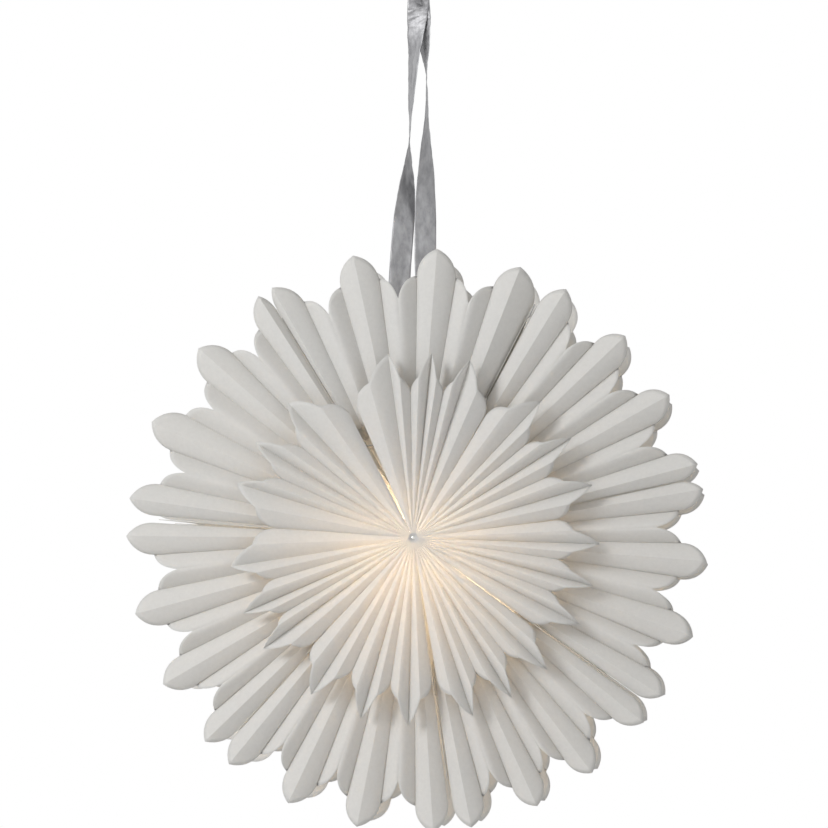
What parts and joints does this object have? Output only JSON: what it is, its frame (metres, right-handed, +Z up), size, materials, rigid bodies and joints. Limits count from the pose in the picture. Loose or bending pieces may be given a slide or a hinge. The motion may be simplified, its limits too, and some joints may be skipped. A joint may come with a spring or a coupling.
{
  "type": "pendant star lantern",
  "caption": "Flat rosette star of pleated white paper, open between its front and back, hung on a flat ribbon, with a lamp holder and bulb inside.",
  "frame": {"origin": "inner top of the ribbon's loop, where it lies over its hook", "axes": "+Z up; the front rosette faces -Y; +X is to the right as seen from the front"},
  "size_m": [0.603, 0.16, 0.9276],
  "materials": {
    "paper": "matte, translucent",
    "card": "matte",
    "ribbon": "silver, glossy",
    "steel_wire": "plain drawn wire",
    "nickel": "nickel plated",
    "white_plastic": "satin",
    "insulator": "matte ceramic look",
    "contact_brass": "bright",
    "cap_metal": "bright",
    "frosted_globe": "frosted, lit"
  },
  "bodies": {
    "ribbon_top": {"ribbon_loop": "ribbon", "ribbon_knot": "ribbon"},
    "ribbon_ends": {"ribbon_strand_left": "ribbon", "ribbon_strand_right": "ribbon", "ribbon_hems": "ribbon", "hem_staples": "steel_wire"},
    "star": {"front_large_section_1": "paper", "front_large_section_2": "paper", "front_large_section_3": "paper", "front_large_section_4": "paper", "front_large_section_5": "paper", "front_large_section_6": "paper", "front_large_section_7": "paper", "front_small_section_1": "paper", "front_small_section_2": "paper", "front_small_section_3": "paper", "front_small_section_4": "paper", "front_small_section_5": "paper", "front_small_section_6": "paper", "front_small_section_7": "paper", "back_large_section_1": "paper", "back_large_section_2": "paper", "back_large_section_3": "paper", "back_large_section_4": "paper", "back_large_section_5": "paper", "back_large_section_6": "paper", "back_large_section_7": "paper", "back_small_section_1": "paper", "back_small_section_2": "paper", "back_small_section_3": "paper", "back_small_section_4": "paper", "back_small_section_5": "paper", "back_small_section_6": "paper", "back_small_section_7": "paper", "seam_wall_1": "paper", "seam_wall_2": "paper", "seam_wall_3": "paper", "seam_wall_4": "paper", "seam_wall_5": "paper", "seam_wall_6": "paper", "closing_wall_left": "paper", "closing_wall_right": "paper", "wall_eyelets": "nickel", "front_hub_washer": "card", "back_hub_washer": "card", "front_hub_rivet": "nickel", "back_hub_rivet": "nickel", "crossbar": "steel_wire", "closing_tie": "steel_wire"},
    "lamp": {"lamp_stirrup": "steel_wire", "cord_gland": "white_plastic", "holder_cap": "white_plastic", "holder_shell": "white_plastic", "shade_ring": "white_plastic", "socket_insert": "insulator", "side_contact": "contact_brass"},
    "contact": {"centre_contact": "contact_brass"},
    "bulb": {"bulb_cap": "cap_metal", "bulb_neck": "white_plastic", "bulb_globe": "frosted_globe"}
  },
  "joints": [
    {"name": "star_turn", "type": "hinge", "parent": "ribbon_top", "child": "ribbon_ends", "pos_m": [0, 0, 0], "axis": [0, 0, 1], "range_deg": [-90, 90], "deforming": ["ribbon_strand_left", "ribbon_strand_right"]},
    {"name": "star_tilt", "type": "hinge", "parent": "ribbon_ends", "child": "star", "pos_m": [0.0015, 0, -0.526], "axis": [1, 0, 0], "range_deg": [-12, 12]},
    {"name": "lamp_swing", "type": "hinge", "parent": "star", "child": "lamp", "pos_m": [0.0015, 0, -0.526], "axis": [1, 0, 0], "range_deg": [-8, 8]},
    {"name": "contact_travel", "type": "slide", "parent": "lamp", "child": "contact", "axis": [0, 0, -1], "range_m": [0, 0.00142]},
    {"name": "bulb_turn", "type": "hinge", "parent": "contact", "child": "bulb", "pos_m": [-0.00275, 0, -0.581], "axis": [0, 0, -1], "range_deg": [0, 180]}
  ],
  "couplings": [
    {"joint": "contact_travel", "follows": "bulb_turn", "m_per_rad": 0.00044882}
  ]
}
